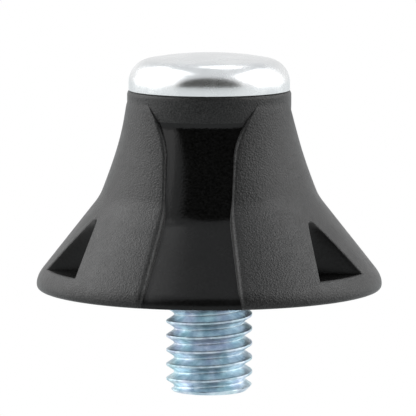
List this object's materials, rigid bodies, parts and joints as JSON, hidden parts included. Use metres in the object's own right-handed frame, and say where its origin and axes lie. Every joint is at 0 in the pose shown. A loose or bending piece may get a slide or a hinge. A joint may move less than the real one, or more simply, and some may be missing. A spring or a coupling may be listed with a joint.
{
  "type": "screw-in boot stud",
  "caption": "Screw-in boot stud: black nylon skirt with wrench recesses and key notches, a threaded steel core and a rounded steel wear cap.",
  "frame": {"origin": "where the thread's axis meets the skirt's flat seating face", "axes": "+Z along the thread's axis, from the thread towards the wear cap; one wrench recess faces -Y"},
  "size_m": [0.0238, 0.0235, 0.0233],
  "materials": {
    "nylon": "black moulded nylon, finely spark-eroded texture on the lobes, polished in the wrench recesses",
    "tip_zinc": "bright clear zinc plate, satin",
    "thread_zinc": "bright blue-tinged zinc plate"
  },
  "bodies": {
    "root": {"nylon_body": "nylon", "threaded_core": "thread_zinc", "wear_cap": "tip_zinc"}
  },
  "joints": []
}
